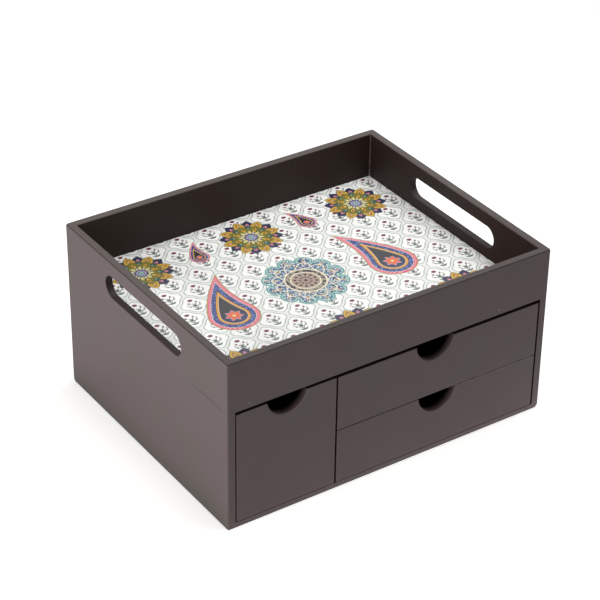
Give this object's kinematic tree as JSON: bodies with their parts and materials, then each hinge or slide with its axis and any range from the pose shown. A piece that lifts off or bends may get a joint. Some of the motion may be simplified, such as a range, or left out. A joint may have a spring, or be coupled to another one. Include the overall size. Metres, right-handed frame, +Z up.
{
  "type": "tray with drawers",
  "caption": "Open tray with hand slots on a low case of drawers, a tall narrow one beside stacked wide ones with half-round finger notches; printed sheet on the tray floor.",
  "frame": {"origin": "centre of the bottom of the whole object, on the surface that it stands on", "axes": "+Z up, drawers open towards -Y, +X to the right as seen from the front"},
  "size_m": [0.3, 0.24, 0.15],
  "materials": {
    "painted_board": "satin paint on fibreboard",
    "drawer_board": "thin matt paint on fibreboard",
    "print": "coloured print under a clear film",
    "brad_steel": "bright drawn wire"
  },
  "bodies": {
    "case": {"tray_front_wall": "painted_board", "tray_rear_wall": "painted_board", "tray_left_wall": "painted_board", "tray_right_wall": "painted_board", "tray_floor": "painted_board", "printed_sheet": "print", "tray_brads": "brad_steel", "case_left_side": "painted_board", "case_right_side": "painted_board", "case_base": "painted_board", "case_rear_panel": "painted_board", "case_divider": "painted_board", "drawer_shelf": "painted_board", "case_brads": "brad_steel"},
    "left_drawer": {"left_drawer_front": "painted_board", "left_drawer_left_side": "drawer_board", "left_drawer_right_side": "drawer_board", "left_drawer_rear": "drawer_board", "left_drawer_bottom": "drawer_board", "left_drawer_brads": "brad_steel"},
    "upper_right_drawer": {"upper_right_drawer_front": "painted_board", "upper_right_drawer_left_side": "drawer_board", "upper_right_drawer_right_side": "drawer_board", "upper_right_drawer_rear": "drawer_board", "upper_right_drawer_bottom": "drawer_board", "upper_right_drawer_brads": "brad_steel"},
    "lower_right_drawer": {"lower_right_drawer_front": "painted_board", "lower_right_drawer_left_side": "drawer_board", "lower_right_drawer_right_side": "drawer_board", "lower_right_drawer_rear": "drawer_board", "lower_right_drawer_bottom": "drawer_board", "lower_right_drawer_brads": "brad_steel"}
  },
  "joints": [
    {"name": "left_drawer_slide", "type": "slide", "parent": "case", "child": "left_drawer", "axis": [0, -1, 0], "range_m": [0, 0.17]},
    {"name": "upper_right_drawer_slide", "type": "slide", "parent": "case", "child": "upper_right_drawer", "axis": [0, -1, 0], "range_m": [0, 0.17]},
    {"name": "lower_right_drawer_slide", "type": "slide", "parent": "case", "child": "lower_right_drawer", "axis": [0, -1, 0], "range_m": [0, 0.17]}
  ]
}
